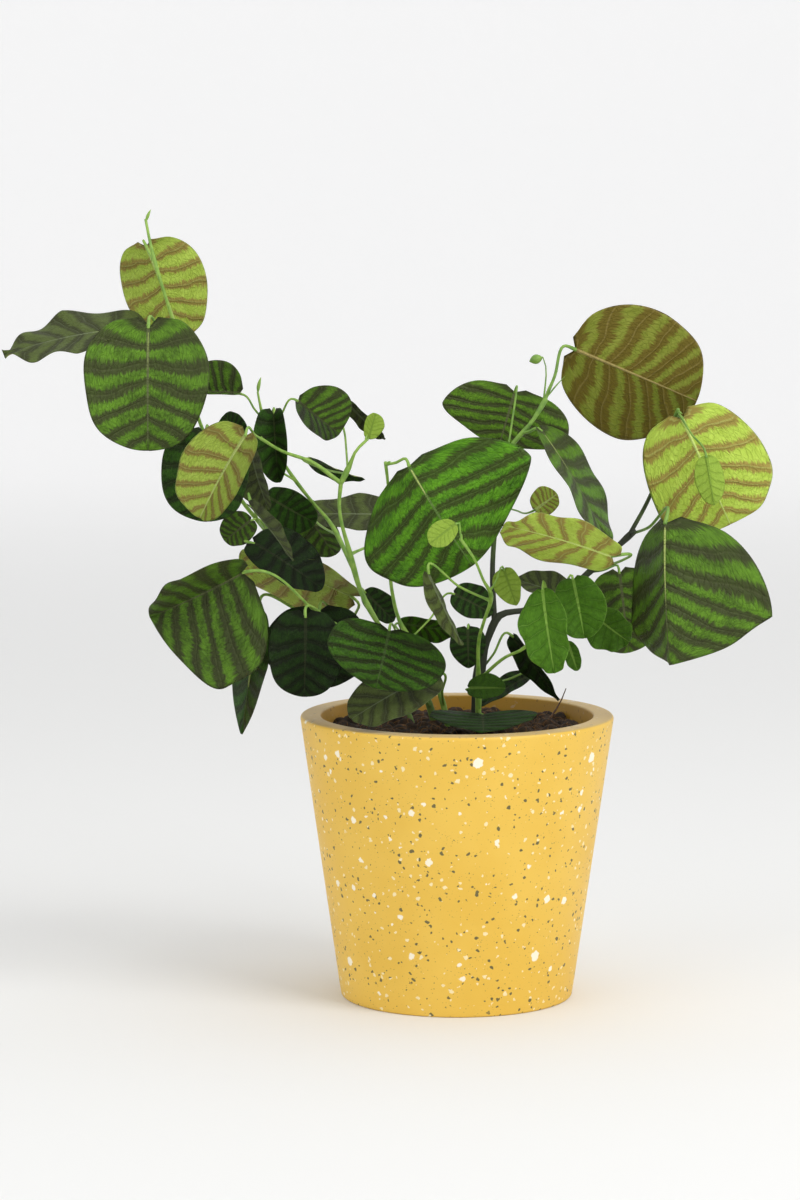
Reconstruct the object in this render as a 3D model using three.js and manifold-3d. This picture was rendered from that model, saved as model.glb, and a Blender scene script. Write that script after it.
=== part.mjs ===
// A potted swallowtail plant: a tapered pot, the soil in it, the canes with their leaf stalks,
// and the broad butterfly-shaped leaves. Millimetres, +Z up, the origin under the middle of the
// pot. "Front" is the side at -Y, and the plant spreads along X.
import * as THREE from "three";
import { mergeVertices } from "three/addons/utils/BufferGeometryUtils.js";
import Module from "manifold-3d";

// ---- driving dimensions ----
const POT_RIM_RADIUS = 75;
const POT_HEIGHT = 135.5;
const POT_BASE_RADIUS = 55.5;
const POT_WALL = 10;
const POT_FLOOR = 12;
const POT_EDGE = 1.6; // rounding of the rim and of the foot
const SOIL_DEPTH_BELOW_RIM = 7;
const GAP = 0.4; // clearance between neighbouring pieces
const LEAF_THICK = 0.8;
const STALK_RADIUS = 0.6;
const AROUND_POT = 48;

const POT_COLOR = "#e6bf4f";
const SOIL_COLOR = "#2a1a10";
const CANE_COLOR = "#7ba63a";
const WOOD_COLOR = "#2f3a24";
const LEAF_COLORS = { mature: "#4a8f28", dark: "#2c5a1e", lime: "#a6cc4e", brown: "#7d6836" };

const wasm = await Module();
wasm.setup();

// ---- closed meshes and booleans ----
function bare(geometry) {
  const g = geometry.index ? geometry.toNonIndexed() : geometry.clone();
  for (const name of Object.keys(g.attributes)) if (name !== "position") g.deleteAttribute(name);
  return mergeVertices(g, 1e-4);
}

function toSolid(geometry) {
  const g = bare(geometry);
  return new wasm.Manifold(
    new wasm.Mesh({
      numProp: 3,
      vertProperties: g.attributes.position.array,
      triVerts: new Uint32Array(g.index.array),
    }),
  );
}

function toGeometry(solid) {
  const mesh = solid.getMesh();
  const g = new THREE.BufferGeometry();
  g.setAttribute("position", new THREE.BufferAttribute(mesh.vertProperties, 3));
  g.setIndex(new THREE.BufferAttribute(mesh.triVerts, 1));
  g.computeVertexNormals();
  return g;
}

function piece(name, geometry, color, roughness = 0.6) {
  const mesh = new THREE.Mesh(geometry, new THREE.MeshStandardMaterial({ color, roughness }));
  mesh.name = name;
  return mesh;
}

// ---- pot ----
// How far the outside of the pot is from its axis at a height.
const outsideAt = (z) =>
  POT_BASE_RADIUS + ((POT_RIM_RADIUS - POT_BASE_RADIUS) * z) / POT_HEIGHT;
const insideAt = (z) => outsideAt(z) - POT_WALL;

function pot() {
  const top = POT_HEIGHT;
  const profile = [
    [0, 0],
    [outsideAt(0) - POT_EDGE, 0],
    [outsideAt(0), POT_EDGE],
    [outsideAt(top - POT_EDGE), top - POT_EDGE],
    [outsideAt(top) - POT_EDGE, top],
    [insideAt(top) + POT_EDGE, top],
    [insideAt(top - POT_EDGE), top - POT_EDGE],
    [insideAt(POT_FLOOR), POT_FLOOR],
    [0, POT_FLOOR],
  ].map(([r, z]) => new THREE.Vector2(r, z));
  return new THREE.LatheGeometry(profile, AROUND_POT).rotateX(Math.PI / 2);
}

function soil() {
  const top = POT_HEIGHT - SOIL_DEPTH_BELOW_RIM;
  const low = POT_FLOOR + GAP;
  const profile = [
    [0, low],
    [insideAt(low) - GAP, low],
    [insideAt(top) - GAP, top],
    [0, top + 2],
  ].map(([r, z]) => new THREE.Vector2(r, z));
  return new THREE.LatheGeometry(profile, AROUND_POT).rotateX(Math.PI / 2);
}

// ---- leaf blades ----
const rad = THREE.MathUtils.degToRad;
const NOTCH = rad(12); // where each half's outline starts, seen from the middle of the half
const VEIN_SPREAD = 0.72; // how the side veins crowd towards the tip
const TIP_WIDTH = 0.012; // half-width left at the very tip, as a share of the length

// Each row is one blade: its name, the point where its stalk meets it, its length from there to
// the tip, and its full width as a share of that length. Then come three groups of three:
//   turn: the midrib's angle seen from the front (0 to the right, 90 up), how far it leans to
//         the back, and the roll about the midrib (0 shows the upper face to the front)
//   bend: how far each half folds up from the midrib, how much further it curls, and the droop
//         of the midrib, all in degrees
//   outline: where the blade is widest, how far the lobes reach behind the stalk, and how full
//         the corners beside the tip are (2 is an ellipse, less is more pointed), with a second
//         number where the two wings differ
const LEAVES = [
  ["crown_lime", [-147, 6, 357], 47, 0.88, [-70, 10, 188], [14, 10, 10], [0.42, 0.08, 2.0], "lime"],
  ["far_left", [-151, -4, 319], 65, 0.72, [-169, -8, 70], [2, 6, 20], [0.5, 0.08, 1.5], "dark"],
  ["round_left", [-144, -26, 319], 56, 1.03, [-90, -8, 4], [8, 12, 14], [0.42, 0.13, 2.1], "mature"],
  ["small_left", [-104, 14, 288], 24, 1.25, [177, 0, 45], [45, 0, 0], [0.5, 0.08, 2.0], "mature"],
  ["hanging_left", [-87, 2, 278], 32, 0.86, [-86, -8, 10], [50, 10, 20], [0.45, 0.1, 1.6], "dark"],
  ["striped_fold", [-98, -53, 273], 44, 0.92, [-119, -12, 152], [28, 8, 20], [0.5, 0.1, 1.9], "lime"],
  ["behind_fold", [-118, -14, 269], 40, 1.04, [-89, -5, 6], [10, 12, 14], [0.45, 0.12, 2.0], "dark"],
  ["above_fold", [-102, 14, 267], 14, 1.15, [133, 10, -20], [15, 10, 0], [0.5, 0.12, 2.0], "dark"],
  ["grey_hanging", [-97, -10, 260], 27, 0.95, [-73, -5, 55], [12, 10, 10], [0.45, 0.12, 1.7], "dark"],
  ["grey_narrow", [-96, -36, 238], 32, 0.6, [-52, -10, 250], [10, 10, 10], [0.45, 0.12, 1.6], "brown"],
  ["inner_green", [-90, 17, 238], 26, 0.9, [-30, 5, 20], [12, 10, 10], [0.45, 0.12, 1.8], "mature"],
  ["inner_low", [-98, 4, 228], 16, 1.1, [-143, -10, 25], [10, 10, 10], [0.5, 0.12, 2.0], "mature"],
  ["long_behind", [-24, 46, 226], 58, 0.5, [180, 3, 62], [2, 8, 8], [0.42, 0.1, 1.5], "dark"],
  ["upper_ovate", [-75, 2, 285], 25, 1.35, [-38, -5, 32], [-32, 6, 8], [0.66, 0.06, 2.2], "mature"],
  ["upper_dark", [-52, 26, 282], 25, 0.36, [-45, 8, 40], [12, 10, 6], [0.45, 0.08, 1.5], "dark"],
  ["lime_bud", [-42, -4, 268], 12, 0.9, [73, 5, 25], [20, 10, 0], [0.6, 0.04, 2.0], "lime"],
  ["upper_narrow", [-69, 26, 255], 27, 0.7, [-22, 5, 68], [10, 10, 12], [0.45, 0.1, 1.4], "dark"],
  ["shade_large", [-96, -6, 218], 39, 0.85, [-33, -10, -48], [10, 10, 10], [0.45, 0.1, 1.6], "dark"],
  ["shade_back", [-75, 66, 229], 29, 0.9, [-58, 5, 30], [10, 10, 8], [0.45, 0.12, 1.8], "mature"],
  ["lime_low", [-52, 22, 190], 57, 0.95, [158, -5, 122], [-14, 10, 8], [0.45, 0.1, 1.7], "lime"],
  ["big_low", [-98, -44, 209], 49, 1.9, [-155, -8, -34], [34, 8, 12], [0.6, 0.08, 1.5], "dark"],
  ["folded_low", [-94, -16, 186], 58, 0.56, [-98, -4, -4], [-60, 0, 8], [0.45, 0.05, 1.3], "dark"],
  ["dark_low", [-71, -38, 185], 36, 0.98, [-91, -8, -8], [10, 10, 14], [0.48, 0.14, 1.9], "dark"],
  ["dark_low_back", [-66, 4, 184], 37, 1.45, [-90, -4, 10], [10, 10, 10], [0.5, 0.1, 1.7], "dark"],
  ["front_striped", [-32, -48, 182], 30, 1.95, [-104, -30, -8], [8, 10, 14], [0.52, 0.08, 1.8], "mature"],
  ["over_rim", [-12, -38, 160], 45, 0.85, [-153, -20, 61], [-4, 8, 10], [0.5, 0.08, 2.0], "dark"],
  ["centre_large", [-23, -44, 258], 56, 1.78, [-57, -12, 19], [-19, 6, 14], [0.5, 0.05, 1.35, 2.0], "mature"],
  ["centre_back", [28, 44, 287], 28, 2.3, [-106, 8, 4], [4, 12, 10], [0.48, 0.12, 1.5], "mature"],
  ["centre_long", [42, 16, 268], 63, 0.75, [-60, -6, -72], [4, 6, 14], [0.45, 0.08, 1.6], "mature"],
  ["shoot_lime", [-2, -84, 235], 15, 0.82, [-143, -4, 20], [10, 10, 0], [0.62, 0.02, 1.6], "lime"],
  ["brown_right", [58, 34, 308], 64, 1.0, [-23, 4, 184], [8, 8, 10], [0.54, 0.08, 2.0], "brown"],
  ["lime_right", [107, 6, 276], 56, 1.04, [-65, 4, 182], [6, 8, 10], [0.54, 0.1, 2.8], "lime"],
  ["lime_small", [117, -12, 259], 23, 0.6, [-80, 4, 180], [10, 8, 4], [0.52, 0.06, 1.6], "lime"],
  ["big_right", [97, -32, 229], 66, 1.44, [-88, -8, 38], [-39, 8, 12], [0.7, 0.08, 1.4], "mature"],
  ["behind_right", [78, 12, 201], 39, 1.0, [-83, 4, -10], [8, 8, 8], [0.52, 0.1, 1.7], "dark"],
  ["lime_front", [69, -66, 218], 53, 0.95, [163, -10, 120], [-6, 10, 10], [0.5, 0.08, 2.0], "lime"],
  ["lime_edge", [36, -18, 235], 13, 1.2, [36, 6, 200], [10, 10, 0], [0.5, 0.08, 2.0], "lime"],
  ["fresh_hanging", [38, -58, 202], 40, 0.62, [-82, -10, 24], [14, 10, 12], [0.5, 0.02, 1.8], "mature"],
  ["fresh_cupped", [53, -46, 205], 28, 0.95, [-79, -12, -6], [20, 16, 20], [0.55, 0.06, 1.8], "mature"],
  ["fresh_behind", [60, -28, 189], 25, 1.0, [-37, -5, 30], [10, 10, 10], [0.5, 0.08, 2.0], "mature"],
  ["fresh_small", [51, -40, 175], 14, 0.55, [-71, -8, 10], [10, 10, 6], [0.5, 0.04, 1.8], "mature"],
  ["mid_grey", [-14, -62, 209], 36, 0.5, [-64, -10, 110], [10, 10, 6], [0.45, 0.08, 1.4], "dark"],
  ["mid_dark", [-1, 0, 193], 20, 0.9, [-27, -5, -30], [10, 10, 10], [0.45, 0.08, 1.6], "dark"],
  ["mid_striped", [-26, 10, 178], 26, 0.62, [-8, -5, 40], [10, 10, 6], [0.5, 0.08, 1.8], "mature"],
  ["mid_heart", [5, -10, 177], 18, 0.95, [-89, -10, 6], [10, 10, 10], [0.42, 0.1, 1.5], "dark"],
  ["mid_left", [-44, 34, 190], 20, 0.72, [-45, 5, -30], [10, 10, 8], [0.5, 0.08, 1.7], "dark"],
  ["low_small", [6, -22, 151], 17, 0.8, [2, -15, -40], [10, 10, 10], [0.5, 0.08, 1.8], "mature"],
  ["black_narrow", [27, 8, 171], 37, 0.42, [-54, -5, 50], [14, 6, 6], [0.42, 0.06, 1.2], "dark"],
  ["dark_curved", [35, 16, 152], 29, 0.5, [-150, -14, 60], [14, 6, 12], [0.45, 0.06, 1.3], "dark"],
  ["lime_tip", [21, -44, 209], 17, 0.85, [-71, -5, 20], [20, 8, 4], [0.42, 0.08, 1.4], "lime"],
  ["grey_right", [57, 26, 187], 30, 0.85, [161, 6, 64], [8, 10, 8], [0.48, 0.08, 1.7], "dark"],
  ["in_pot", [12, -20, 138], 24, 2.1, [-90, -78, 0], [6, 8, 8], [0.55, 0.08, 1.8], "dark"],
];

// The blade's own directions in space: along the midrib, across it, and out of its upper face.
function leafFrame([aim, lean, roll]) {
  const flat = Math.cos(rad(lean));
  const along = new THREE.Vector3(
    Math.cos(rad(aim)) * flat,
    Math.sin(rad(lean)),
    Math.sin(rad(aim)) * flat,
  );
  const front = new THREE.Vector3(0, -1, 0);
  const up = front.addScaledVector(along, -front.dot(along)).normalize();
  up.applyAxisAngle(along, rad(roll));
  const across = new THREE.Vector3().crossVectors(up, along);
  return { along, across, up };
}

// A point of the blade for s from 0 at the stalk to 1 at the tip, and t from -1 to 1 across.
// Each s is a side vein: a straight line from the midrib to the outline. The flat blade is then
// bent twice, each half along an arc about the midrib and the midrib along an arc of its own.
function bladePoint(row, s, t) {
  const [, at, long, broad, turn, [fold, curl, droop], [widest, lobe, full, otherFull]] = row;
  const corner = t < 0 ? (otherFull ?? full) : full;
  const half = broad / 2;
  const around = NOTCH + (Math.PI - NOTCH) * s ** VEIN_SPREAD;
  const behind = around < Math.PI / 2;
  const power = behind ? 1 : 2 / corner;
  const reach = behind ? (widest + lobe) / Math.cos(NOTCH) : 1 - widest;
  const cos = Math.cos(around);
  const edgeX = widest - reach * Math.sign(cos) * Math.abs(cos) ** power;
  const edgeY = half * Math.max(Math.sin(around), 0) ** power + TIP_WIDTH;
  const x = s + Math.abs(t) * (edgeX - s);
  const y = Math.abs(t) * edgeY;

  const turnPerUnit = rad(curl || 0.1) / half;
  const start = rad(fold);
  const end = start + turnPerUnit * y;
  const sideways = (Math.sin(end) - Math.sin(start)) / turnPerUnit;
  const rise = (Math.cos(start) - Math.cos(end)) / turnPerUnit;

  const sag = rad(droop || 0.1);
  const a = sag * x;
  const forward = Math.sin(a) / sag + rise * Math.sin(a);
  const height = (Math.cos(a) - 1) / sag + rise * Math.cos(a);
  const scale = (long * sag) / (2 * Math.sin(sag / 2));
  const c = Math.cos(sag / 2);
  const n = Math.sin(sag / 2);
  const { along, across, up } = leafFrame(turn);
  return new THREE.Vector3(...at)
    .addScaledVector(along, scale * (forward * c - height * n))
    .addScaledVector(across, scale * sideways * Math.sign(t))
    .addScaledVector(up, scale * (forward * n + height * c));
}

const LEAF_STEPS = [6, 4];

// A box of LEAF_STEPS squares, carried onto the blade: its top and bottom become the two faces.
function blade(row) {
  const g = new THREE.BoxGeometry(1, 2, 1, LEAF_STEPS[0], LEAF_STEPS[1], 1);
  const p = g.attributes.position;
  const step = 1e-3;
  for (let i = 0; i < p.count; i++) {
    const s = p.getX(i) + 0.5;
    const t = p.getY(i);
    const here = bladePoint(row, s, t);
    const onward = s < 0.5 ? step : -step;
    const outward = t <= 0 ? step : -step;
    const ds = bladePoint(row, s + onward, t).sub(here).divideScalar(onward);
    const dt = bladePoint(row, s, t + outward).sub(here).divideScalar(outward);
    const normal = ds.cross(dt).normalize();
    here.addScaledVector(normal, Math.sign(p.getZ(i)) * (LEAF_THICK / 2));
    p.setXYZ(i, here.x, here.y, here.z);
  }
  return bare(g);
}

// ---- canes and stalks ----
// Each cane is a line of points with a radius. A branch starts at a share of the line's length,
// and a stalk runs from such a share to the blade that it carries.
const CANES = [
  {
    name: "cane_left",
    radius: 1.5,
    points: [
      [-8, 2, 108], [-14, 2, 142], [-30, 0, 168], [-44, -2, 190], [-51, -3, 213],
      [-56, -4, 236], [-55, -5, 248],
    ],
    stalks: { big_low: 0.42, long_behind: 0.76, mid_left: 0.42, dark_low: 0.36, front_striped: 0.2 },
    branches: [
      {
        from: 0.99,
        radius: 1.1,
        points: [[-69, -10, 257], [-81, -18, 262], [-92, -36, 270]],
        stalks: { striped_fold: 0.97 },
      },
      {
        from: 0.99,
        radius: 1.0,
        points: [[-51, -6, 255], [-48, -8, 262], [-43, -6, 267]],
        stalks: { lime_bud: 0.97, upper_narrow: 0.2, upper_dark: 0.3 },
      },
      {
        from: 0.7,
        radius: 1.0,
        points: [[-62, 12, 228], [-68, 18, 234], [-83, 14, 255], [-90, 12, 270], [-93, 11, 279], [-95, 11, 289]],
        stalks: {
          small_left: 0.86, hanging_left: 0.84, upper_ovate: 0.82, grey_hanging: 0.55,
          shade_back: 0.2,
        },
      },
    ],
  },
  {
    name: "cane_far_left",
    radius: 1.3,
    points: [
      [-14, 8, 108], [-26, 18, 140], [-48, 32, 172], [-72, 36, 202], [-95, 26, 225], [-106, 14, 241],
      [-119, 3, 267], [-122, 0, 275], [-127, 2, 295], [-133, 0, 318], [-145, -2, 361], [-147, 0, 371],
    ],
    stalks: {
      crown_lime: 0.93, far_left: 0.78, round_left: 0.76, behind_fold: 0.6, above_fold: 0.58,
      grey_narrow: 0.46, inner_green: 0.44, inner_low: 0.42, shade_large: 0.4, lime_low: 0.26,
      folded_low: 0.28, dark_low_back: 0.24,
    },
  },
  {
    name: "cane_centre",
    radius: 1.2,
    points: [
      [-2, -2, 108], [-8, -2, 145], [-22, -4, 171], [-27, -6, 180], [-31, -12, 196], [-32, -20, 225],
      [-33, -28, 250], [-34, -34, 259],
    ],
    stalks: { centre_large: 0.99, mid_striped: 0.4, mid_dark: 0.42, over_rim: 0.2 },
  },
  {
    name: "cane_right",
    radius: 1.9,
    points: [
      [8, 6, 108], [10, 6, 150], [15, 4, 172], [20, 4, 182], [34, 6, 185], [49, 8, 191],
      [63, 12, 202], [74, 18, 211], [86, 20, 222],
    ],
    stalks: {
      big_right: 0.98, behind_right: 0.8, lime_front: 0.86, grey_right: 0.64, fresh_behind: 0.66,
      black_narrow: 0.3, dark_curved: 0.26, mid_heart: 0.34,
    },
    branches: [
      {
        from: 0.46,
        radius: 1.4,
        points: [[17, 8, 205], [20, 14, 235], [26, 18, 262], [36, 20, 274], [43, 22, 285]],
        stalks: { brown_right: 0.98, centre_back: 0.7, centre_long: 0.82, lime_edge: 0.5 },
      },
      {
        from: 0.97,
        radius: 1.1,
        points: [[92, 22, 236], [99, 22, 254], [102, 16, 270], [105, 6, 281]],
        stalks: { lime_right: 0.9, lime_small: 0.98 },
      },
    ],
  },
  {
    name: "shoot_front",
    radius: 1.1,
    points: [
      [10, -8, 108], [10, -12, 150], [10, -22, 174], [12, -34, 184], [15, -50, 198], [11, -64, 207],
      [6, -76, 219], [0, -82, 228],
    ],
    stalks: { shoot_lime: 0.99, mid_grey: 0.66, lime_tip: 0.72, low_small: 0.26, in_pot: 0.2 },
    branches: [
      {
        from: 0.3,
        radius: 0.9,
        points: [[22, -26, 166], [31, -36, 172], [40, -44, 186], [46, -48, 200]],
        stalks: { fresh_hanging: 0.9, fresh_cupped: 0.98, fresh_small: 0.55 },
      },
    ],
  },
];

const TUBE_SIDES = 6;

function tube(points, radius, steps, sides = TUBE_SIDES) {
  const ring = [];
  for (let i = 0; i < sides; i++) {
    const a = (2 * Math.PI * i) / sides;
    ring.push(new THREE.Vector2(radius * Math.cos(a), radius * Math.sin(a)));
  }
  return new THREE.ExtrudeGeometry(new THREE.Shape(ring), {
    steps,
    extrudePath: new THREE.CatmullRomCurve3(points, false, "centripetal"),
    bevelEnabled: false,
  });
}

const rowOf = (name) => LEAVES.find(([n]) => n === name);

// A stalk leaves its cane, and comes to its blade from behind along the midrib's own line.
function stalk(start, name) {
  const row = rowOf(name);
  const [, at, long] = row;
  const base = new THREE.Vector3(...at);
  const { along, up } = leafFrame(row[4]);
  const folded = row[5][0] < -50;
  const side = folded || start.clone().sub(base).dot(up) > 0 ? 1 : -1;
  const end = base.clone().addScaledVector(along, -LEAF_THICK).addScaledVector(up, 2 * side * LEAF_THICK);
  const reach = Math.min(long * 0.12, 0.25 * base.distanceTo(start));
  const near = end.clone().addScaledVector(along, -reach).addScaledVector(up, 0.3 * side * reach);
  const middle = start.clone().lerp(near, 0.5);
  return tube([start, middle, near, end], STALK_RADIUS, 5, 4);
}

function grow({ points, radius, stalks = {}, branches = [] }, root) {
  const line = points.map((p) => new THREE.Vector3(...p));
  if (root) line.unshift(root);
  const path = new THREE.CatmullRomCurve3(line, false, "centripetal");
  let solid = toSolid(tube(line, radius, 2 * (line.length - 1)));
  for (const [name, share] of Object.entries(stalks))
    solid = solid.add(toSolid(stalk(path.getPointAt(share), name)));
  for (const branch of branches) solid = solid.add(grow(branch, path.getPointAt(branch.from)));
  return solid;
}

// ---- the whole plant ----
const plant = new THREE.Group();
plant.add(piece("pot", pot(), POT_COLOR, 0.45));

let soilSolid = toSolid(soil());
for (const cane of CANES) {
  const solid = grow(cane);
  const color = cane.name === "cane_right" ? WOOD_COLOR : CANE_COLOR;
  plant.add(piece(cane.name, toGeometry(solid), color));
  const socket = tube(
    cane.points.slice(0, 3).map((p) => new THREE.Vector3(...p)),
    cane.radius + GAP,
    6,
    8,
  );
  const foot = tube(
    [0, 1].map((i) => new THREE.Vector3(cane.points[0][0], cane.points[0][1], cane.points[0][2] - 1 + i)),
    cane.radius + GAP,
    1,
    8,
  );
  soilSolid = soilSolid.subtract(toSolid(socket)).subtract(toSolid(foot));
}
plant.add(piece("soil", toGeometry(soilSolid), SOIL_COLOR, 0.95));

for (const row of LEAVES)
  plant.add(piece("leaf_" + row[0], blade(row), LEAF_COLORS[row[7]], 0.5));

const twig = tube(
  [[45, 16, 131], [48, 18, 135], [51, 20, 140], [53, 21, 145]].map((p) => new THREE.Vector3(...p)),
  0.5,
  6,
  5,
);
plant.add(piece("dry_twig", twig, "#5a4020", 0.9));

export default plant;
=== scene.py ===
# %% [markdown]
# # A potted swallowtail plant
# This lesson dresses a house plant in a speckled pot: broad leaves with dark bands, thin green
# stems, loose soil and a tapered pot. The plain solids of the frame already say where every
# piece is and how big it is, so each cell makes one kind of piece and fits it to its solid.

# %% The frame
import bmesh
import bpy
import numpy as np
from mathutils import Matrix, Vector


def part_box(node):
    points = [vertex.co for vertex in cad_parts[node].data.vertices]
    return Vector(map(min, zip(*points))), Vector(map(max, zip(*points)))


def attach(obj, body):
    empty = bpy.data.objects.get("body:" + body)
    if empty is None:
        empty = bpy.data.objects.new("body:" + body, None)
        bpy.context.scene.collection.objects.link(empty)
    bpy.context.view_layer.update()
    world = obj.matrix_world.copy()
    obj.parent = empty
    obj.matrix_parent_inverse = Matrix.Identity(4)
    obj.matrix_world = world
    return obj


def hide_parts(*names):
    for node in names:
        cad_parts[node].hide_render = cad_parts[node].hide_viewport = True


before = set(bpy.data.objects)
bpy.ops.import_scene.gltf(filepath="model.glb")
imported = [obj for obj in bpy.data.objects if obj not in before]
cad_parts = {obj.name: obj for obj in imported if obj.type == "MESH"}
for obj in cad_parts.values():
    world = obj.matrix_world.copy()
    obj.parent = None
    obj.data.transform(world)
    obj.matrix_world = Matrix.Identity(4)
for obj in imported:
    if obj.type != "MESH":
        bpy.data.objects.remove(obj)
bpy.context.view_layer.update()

# %% [markdown]
# A surface here is a grid of points. It could be sculpted or extruded by hand, but a grid is
# quick to compute whole, easy to change, and every square of four neighbours is one face.
# Where a grid meets itself, at a seam or a pole, its doubled points are welded, so that each
# piece ends up closed like the real thing.

# %% From grids of points to one mesh
def squares(rows, cols):
    """Each square's corners are a grid point and its three neighbours below and to the right."""
    a = (np.arange(rows - 1)[:, None] * cols + np.arange(cols - 1)[None, :]).ravel()
    return np.stack([a, a + cols, a + cols + 1, a + 1], 1)


def join(name, sheets, finishes, weld=2e-6):
    """A mesh from sheets: (grid of points, {mark: grid of values}, number of its finish)."""
    starts = np.cumsum([0] + [grid[..., 0].size for grid, _, _ in sheets])
    faces = np.concatenate([squares(*grid.shape[:2]) + n for (grid, _, _), n in zip(sheets, starts)])
    which = np.concatenate([np.full((g.shape[0] - 1) * (g.shape[1] - 1), k) for g, _, k in sheets])
    mesh = bpy.data.meshes.new(name)
    mesh.from_pydata(np.concatenate([g.reshape(-1, 3) for g, _, _ in sheets]), [], faces)
    mesh.polygons.foreach_set("material_index", which.astype(np.int32))
    for mark in sheets[0][1]:
        values = np.concatenate([np.broadcast_to(m[mark], g.shape[:2]).ravel() for g, m, _ in sheets])
        mesh.attributes.new(mark, "FLOAT", "POINT").data.foreach_set("value", values.astype(np.float32))
    work = bmesh.new()
    work.from_mesh(mesh)
    bmesh.ops.remove_doubles(work, verts=work.verts, dist=weld)
    bmesh.ops.dissolve_degenerate(work, edges=work.edges, dist=weld / 2)
    bmesh.ops.recalc_face_normals(work, faces=work.faces)
    work.to_mesh(mesh)
    work.free()
    mesh.shade_smooth()
    for finish in finishes:
        mesh.materials.append(finish)
    piece = bpy.data.objects.new(name, mesh)
    bpy.context.scene.collection.objects.link(piece)
    return piece


def build(name, sheets, finishes, slot, stands_for, weld=2e-6):
    """A joined mesh that rides on the plant's body and takes the place of one plain solid."""
    piece = join(name, sheets, finishes, weld)
    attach(piece, "root")
    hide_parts(stands_for)
    return piece


def turned(profile, around):
    """Each point of the profile is carried round the upright axis: radius times cos, sin, and z."""
    angle = np.linspace(0, 2 * np.pi, around + 1)
    r, z = profile[:, 0, None], profile[:, 1, None]
    return np.stack([r * np.cos(angle), r * np.sin(angle), z + 0 * angle], -1)


print("a grid of 2 by 2 points is one face:", squares(2, 2).tolist())

# %% [markdown]
# A finish is a material made from nodes. Wiring a long formula by hand hides it, so one small
# class wraps a socket and turns Python arithmetic into Math nodes. Colours go through Mix
# nodes instead, because a Math node would turn them grey.

# %% Sockets that do arithmetic
class Wire:
    """An output socket: arithmetic on it adds Math nodes to the same material."""

    def __init__(self, tree, socket):
        self.tree = tree
        self.socket = socket

    def math(self, operation, *others, first=None):
        values = (self, *others) if first is None else (first, self)
        return add(self.tree, "ShaderNodeMath", {"operation": operation}, dict(enumerate(values)))

    def __add__(self, other):
        return self.math("ADD", other)

    def __sub__(self, other):
        return self.math("SUBTRACT", other)

    def __rsub__(self, other):
        return self.math("SUBTRACT", first=other)

    def __mul__(self, other):
        return self.math("MULTIPLY", other)

    def __truediv__(self, other):
        return self.math("DIVIDE", other)

    def __pow__(self, other):
        return self.math("POWER", other)

    def __abs__(self):
        return self.math("ABSOLUTE")

    __radd__ = __add__
    __rmul__ = __mul__

    def step(self, low, high):
        """0 below low, 1 above high, and a smooth S between them; low may be the larger."""
        values = {"Value": self, "From Min": low, "From Max": high}
        return add(self.tree, "ShaderNodeMapRange", {"interpolation_type": "SMOOTHSTEP"}, values)


def add(tree, kind, settings=None, values=None, output=0):
    """Any node: its settings come first, then what its sockets hold or are linked to."""
    node = tree.nodes.new(kind)
    for key, value in (settings or {}).items():
        setattr(node, key, value)
    for key, value in (values or {}).items():
        if isinstance(value, Wire):
            tree.links.new(value.socket, node.inputs[key])
        else:
            node.inputs[key].default_value = value
    return Wire(tree, node.outputs[output])


def mix(tree, share, a, b, how="MIX"):
    """Colour a where the share is 0, colour b where it is 1."""
    settings = {"data_type": "RGBA", "blend_type": how}
    return add(tree, "ShaderNodeMix", settings, {0: share, 6: a, 7: b}, output=2)


def noise(tree, place, scale, detail=3.0, rough=0.5):
    """Soft random values around one half."""
    values = {"Vector": place, "Scale": scale, "Detail": detail, "Roughness": rough}
    return add(tree, "ShaderNodeTexNoise", {}, values)


def rgb(text, light=1.0):
    """A colour as Blender's linear light, from the usual six digits."""
    v = np.array([int(text[i : i + 2], 16) for i in (1, 3, 5)]) / 255
    linear = np.where(v > 0.04045, ((v + 0.055) / 1.055) ** 2.4, v / 12.92) * light
    return (*linear.tolist(), 1.0)


def new_finish(name):
    """An empty material: its node tree, and a function that plugs values into its shader."""
    material = bpy.data.materials.new(name)
    material.use_nodes = True
    tree = material.node_tree
    shader = tree.nodes["Principled BSDF"]

    def plug(**values):
        for key, value in values.items():
            socket = shader.inputs[key.replace("_", " ")]
            if isinstance(value, Wire):
                tree.links.new(value.socket, socket)
            else:
                socket.default_value = value
        return material

    return tree, plug


print("helpers ready")

# %% [markdown]
# The pot is cast with stone chips in yellow slip and ground smooth, so chips lie in the whole
# wall and are cut through at its face. A picture wrapped round the pot would stretch and show
# a seam. Cells of a three-dimensional pattern are cut by the surface just as real chips are,
# and each cell's own random number says whether it holds a chip, and how big it is.

# %% The speckled finish
def chips(tree, place, cell, biggest, share):
    """1 inside a chip: cells of one size, a share of which hold a chip of random radius."""
    cells = {"Vector": place, "Scale": 1 / cell}
    away = add(tree, "ShaderNodeTexVoronoi", {}, cells, output=0)
    dice = add(tree, "ShaderNodeTexVoronoi", {}, cells, output=1)
    first = add(tree, "ShaderNodeSeparateColor", {}, {"Color": dice}, output=0)
    second = add(tree, "ShaderNodeSeparateColor", {}, {"Color": dice}, output=1)
    radius = biggest / cell * (0.25 + 0.75 * second ** 2.2)
    held = first.step(share, share - 0.01)
    return (away - radius).step(0.02, -0.02) * held


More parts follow.
